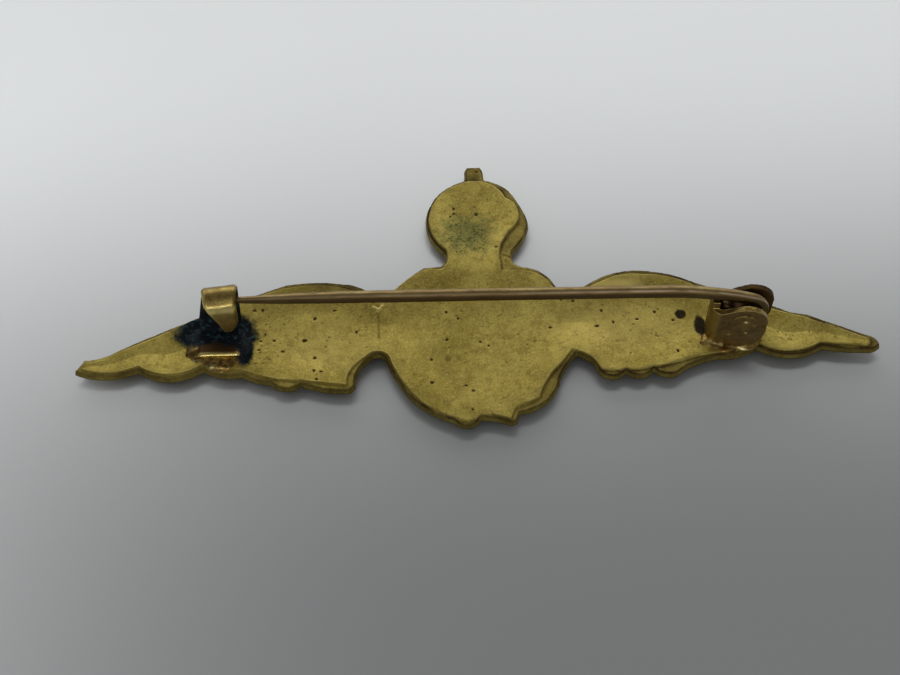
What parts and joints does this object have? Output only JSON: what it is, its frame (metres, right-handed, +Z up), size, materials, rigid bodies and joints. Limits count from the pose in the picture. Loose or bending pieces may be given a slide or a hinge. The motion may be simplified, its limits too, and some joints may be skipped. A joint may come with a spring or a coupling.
{
  "type": "pilot wings pin",
  "caption": "Flat struck brass brooch in the shape of a pair of feathered wings with a round wreath and a crown-shaped top, with a swinging pin that closes into a hook catch.",
  "frame": {"origin": "middle of the badge's outline, on the plane that its front relief rests on when it lies face down", "axes": "+Z up from the back, the side with the fastening; +X along the wings towards the joint; +Y towards the crown"},
  "size_m": [0.06, 0.025, 0.0075],
  "materials": {
    "plate_brass": "struck gilding metal, dulled and pitted",
    "strip_brass": "rolled strip, worn bright on the bends",
    "wire_brass": "drawn wire, brown tarnish",
    "catch_flux": "solder under blue-black flux residue",
    "joint_flux": "solder, brown and bronze"
  },
  "bodies": {
    "badge": {"badge_plate": "plate_brass", "catch_hook": "strip_brass", "catch_solder": "catch_flux", "joint_bracket": "strip_brass", "joint_solder": "joint_flux", "joint_rivet": "strip_brass"},
    "needle": {"needle": "wire_brass"}
  },
  "joints": [
    {"name": "needle_swing", "type": "hinge", "parent": "badge", "child": "needle", "pos_m": [0.0195, -0.0052, 0.0044], "axis": [0.1045, 0.9945, 0], "range_deg": [0, 120]}
  ]
}
